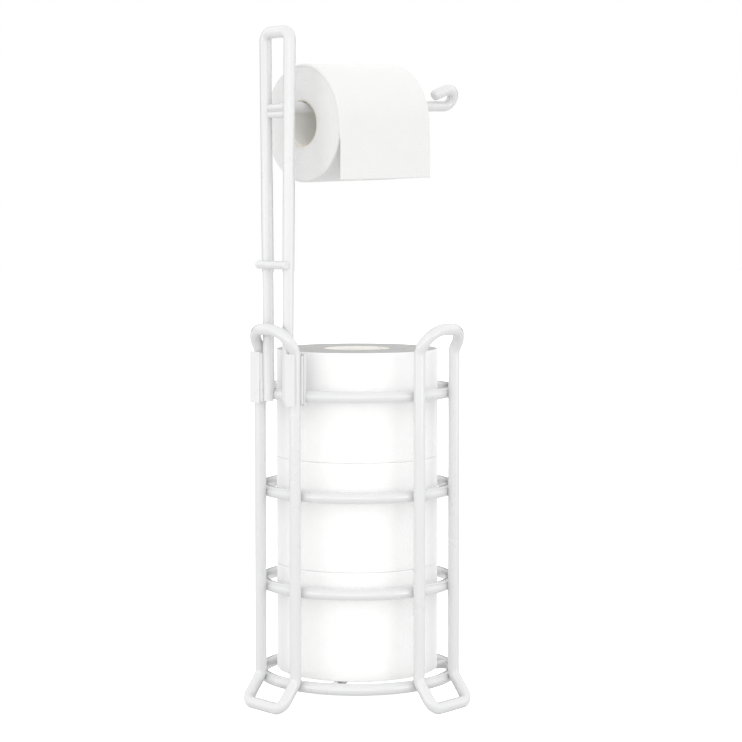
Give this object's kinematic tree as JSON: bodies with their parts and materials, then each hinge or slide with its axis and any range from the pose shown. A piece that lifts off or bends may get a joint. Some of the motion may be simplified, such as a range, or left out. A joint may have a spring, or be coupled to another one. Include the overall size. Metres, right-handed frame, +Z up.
{
  "type": "toilet paper stand",
  "caption": "Free-standing toilet paper stand of welded steel rod: a caged store for spare rolls, with a tall post and an arm that carries the roll in use.",
  "frame": {"origin": "on the floor, on the axis of the cage and of the stacked spare rolls", "axes": "+Z up; -Y towards the front, the side of the picture; +X to the right as seen from the front"},
  "size_m": [0.2094, 0.2131, 0.6231],
  "materials": {
    "white_steel": "satin powder coat",
    "cardboard": "matte cardboard",
    "paper": "matte soft paper"
  },
  "bodies": {
    "stand": {"top_ring": "white_steel", "upper_middle_ring": "white_steel", "lower_middle_ring": "white_steel", "bottom_ring": "white_steel", "base_spoke_right": "white_steel", "base_spoke_left": "white_steel", "base_spoke_front": "white_steel", "front_left_leg": "white_steel", "front_right_leg": "white_steel", "rear_leg": "white_steel", "post_hairpin": "white_steel", "post_outer_bar": "white_steel", "arm_upper_bar": "white_steel", "arm_lower_bar": "white_steel", "dispenser_arm": "white_steel", "left_clip": "white_steel", "right_clip": "white_steel", "bottom_spare_roll_core": "cardboard", "bottom_spare_roll_paper": "paper", "middle_spare_roll_core": "cardboard", "middle_spare_roll_paper": "paper"},
    "dispenser_core": {"dispenser_roll_core": "cardboard"},
    "dispenser_paper": {"dispenser_roll_paper": "paper", "paper_tail": "paper"},
    "top_spare_roll": {"top_spare_roll_core": "cardboard", "top_spare_roll_paper": "paper"}
  },
  "joints": [
    {"name": "roll_slide", "type": "slide", "parent": "stand", "child": "dispenser_core", "axis": [0.7611, 0.6477, 0.0349], "range_m": [-0.02, 0.04]},
    {"name": "roll_spin", "type": "hinge", "parent": "dispenser_core", "child": "dispenser_paper", "pos_m": [-0.00886, -0.00754, 0.53813], "axis": [0.7611, 0.6477, 0.0349], "continuous": true},
    {"name": "spare_roll_lift", "type": "slide", "parent": "stand", "child": "top_spare_roll", "axis": [0, 0, 1], "range_m": [0, 0.125]}
  ]
}
